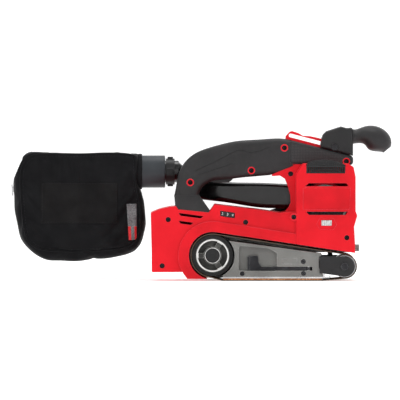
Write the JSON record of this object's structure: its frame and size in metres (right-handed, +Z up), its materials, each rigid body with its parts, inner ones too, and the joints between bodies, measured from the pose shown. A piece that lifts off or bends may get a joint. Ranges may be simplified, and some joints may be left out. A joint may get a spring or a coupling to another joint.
{
  "type": "belt sander",
  "caption": "Cordless handheld belt sander with loop handle, movable front grip, sprung belt tension lever, tracking screw, toothed-belt drive and a detachable fabric dust bag",
  "frame": {"origin": "middle of the sole's lower face, where the belt lies on the work", "axes": "+X towards the front handle, -Y the open side of the belt, +Z up"},
  "size_m": [0.4739, 0.1356, 0.1921],
  "materials": {
    "belt_grit": "abrasive cloth belt, brown grit",
    "black_plastic": "black glass-filled plastic",
    "black_rubber": "soft textured grip rubber",
    "blue_grey": "dark blue-grey plastic",
    "board": "circuit board",
    "cast_alu": "die-cast aluminium",
    "copper": "copper and brass",
    "cork": "pressed cork pad",
    "dark_steel": "black oxide steel",
    "drive_rubber": "black rubber",
    "gloss_black": "smooth black plastic",
    "grey_metal": "satin grey painted plate",
    "lens": "clear light lens",
    "nylon": "black woven nylon",
    "red_plastic": "satin moulded red plastic",
    "steel": "bright steel",
    "tag_cloth": "woven label cloth",
    "zip_metal": "bright metal"
  },
  "bodies": {
    "body": {"base_frame": "cast_alu", "control_board": "board", "cork_pad": "cork", "drive_bearings": "steel", "drive_cover": "black_plastic", "dust_duct": "gloss_black", "end_bells": "cast_alu", "grip_left": "black_rubber", "grip_right": "black_rubber", "handle_rail": "red_plastic", "housing_left": "red_plastic", "housing_right": "red_plastic", "housing_screws": "dark_steel", "indicator_lens": "lens", "lever_pin": "steel", "sanding_belt": "belt_grit", "shoe_clip": "steel", "shoe_plate": "steel", "side_plate": "grey_metal", "side_plate_screws": "dark_steel", "speed_sensor": "black_plastic", "stator": "steel", "switch_body": "black_plastic", "tension_spring": "steel", "terminal_blades": "copper", "terminal_block": "black_plastic", "timing_belt": "drive_rubber", "trigger_pin": "steel", "vent_grille": "black_plastic"},
    "drum": {"drum_hub": "cast_alu", "drum_tyre": "drive_rubber", "drum_shaft": "steel", "hub_cap": "black_plastic", "drum_pulley": "cast_alu"},
    "roller": {"front_roller": "steel", "roller_bearings": "steel"},
    "rotor": {"rotor": "steel", "motor_shaft": "steel", "cooling_fan": "black_plastic", "dust_impeller": "black_plastic"},
    "lever": {"tension_lever": "dark_steel"},
    "slide": {"tension_slide": "steel"},
    "yoke": {"tracking_yoke": "black_plastic", "front_axle": "steel", "axle_nut": "dark_steel"},
    "tracking": {"tracking_knob": "grey_metal"},
    "trigger": {"trigger": "black_plastic", "trigger_spring": "steel"},
    "lock": {"lock_button": "black_plastic"},
    "dial": {"speed_dial": "black_plastic"},
    "front_handle": {"front_handle_base": "black_plastic", "front_handle_grip": "black_rubber", "clamp_bolt": "dark_steel"},
    "clamp": {"clamp_knob": "black_plastic"},
    "collar": {"bayonet_collar": "black_plastic"},
    "bag": {"bag_adapter": "blue_grey", "dust_bag": "nylon", "zip_tape": "nylon", "bag_tag": "tag_cloth"},
    "zip": {"zip_slider": "zip_metal"}
  },
  "joints": [
    {"name": "drum_spin", "type": "hinge", "parent": "body", "child": "drum", "pos_m": [-0.0737, 0, 0.0312], "axis": [0, 1, 0], "continuous": true},
    {"name": "roller_spin", "type": "hinge", "parent": "yoke", "child": "roller", "pos_m": [0.0899, 0, 0.0179], "axis": [0, 1, 0], "continuous": true},
    {"name": "rotor_spin", "type": "hinge", "parent": "body", "child": "rotor", "pos_m": [0.066, 0, 0.092], "axis": [0, 1, 0], "continuous": true},
    {"name": "tension_slide_travel", "type": "slide", "parent": "body", "child": "slide", "axis": [-1, 0, 0], "range_m": [0, 0.006]},
    {"name": "tension_lever_swing", "type": "hinge", "parent": "body", "child": "lever", "pos_m": [0.0453, -0.036, 0.015], "axis": [0, 0, 1], "range_deg": [0, 100]},
    {"name": "tracking_tilt", "type": "hinge", "parent": "slide", "child": "yoke", "pos_m": [0.061, 0, 0.019], "axis": [0, 0, 1], "range_deg": [-0.4, 0.4]},
    {"name": "tracking_knob_turn", "type": "hinge", "parent": "body", "child": "tracking", "pos_m": [0.106, 0.0485, 0.0389], "axis": [1, 0, 0], "range_deg": [-180, 180]},
    {"name": "trigger_squeeze", "type": "hinge", "parent": "body", "child": "trigger", "pos_m": [-0.0475, 0, 0.1346], "axis": [0, 1, 0], "range_deg": [0, 8], "stiffness_Nm_per_rad": 1.5, "springref_deg": -8.59, "deforming": ["trigger_spring"]},
    {"name": "lock_button_press", "type": "slide", "parent": "body", "child": "lock", "axis": [0, -1, 0], "range_m": [0, 0.003], "stiffness_N_per_m": 300, "springref_m": -0.002},
    {"name": "speed_dial_turn", "type": "hinge", "parent": "body", "child": "dial", "pos_m": [-0.0552, -0.0255, 0.0822], "axis": [0.1426, 0, 0.9898], "range_deg": [0, 270]},
    {"name": "front_handle_slide", "type": "slide", "parent": "body", "child": "front_handle", "axis": [-0.9681, 0, 0.2504], "range_m": [0, 0.037]},
    {"name": "clamp_knob_turn", "type": "hinge", "parent": "front_handle", "child": "clamp", "pos_m": [0.078, 0.026, 0.16568], "axis": [0, 1, 0], "range_deg": [-360, 360]},
    {"name": "port_twist", "type": "hinge", "parent": "body", "child": "collar", "pos_m": [-0.126, 0.052, 0.1342], "axis": [1, 0, 0], "range_deg": [-30, 30]},
    {"name": "bag_pull_off", "type": "slide", "parent": "collar", "child": "bag", "axis": [-1, 0, 0], "range_m": [0, 0.045]},
    {"name": "zip_pull", "type": "slide", "parent": "bag", "child": "zip", "axis": [-0.0501, 0, 0.9987], "range_m": [-0.03, 0.008]}
  ],
  "couplings": [
    {"joint": "roller_spin", "follows": "drum_spin", "ratio": 1.8369},
    {"joint": "rotor_spin", "follows": "drum_spin", "ratio": 3},
    {"joint": "tension_lever_swing", "follows": "tension_slide_travel", "rad_per_m": 290.89},
    {"joint": "tracking_knob_turn", "follows": "tracking_tilt", "ratio": 450}
  ]
}
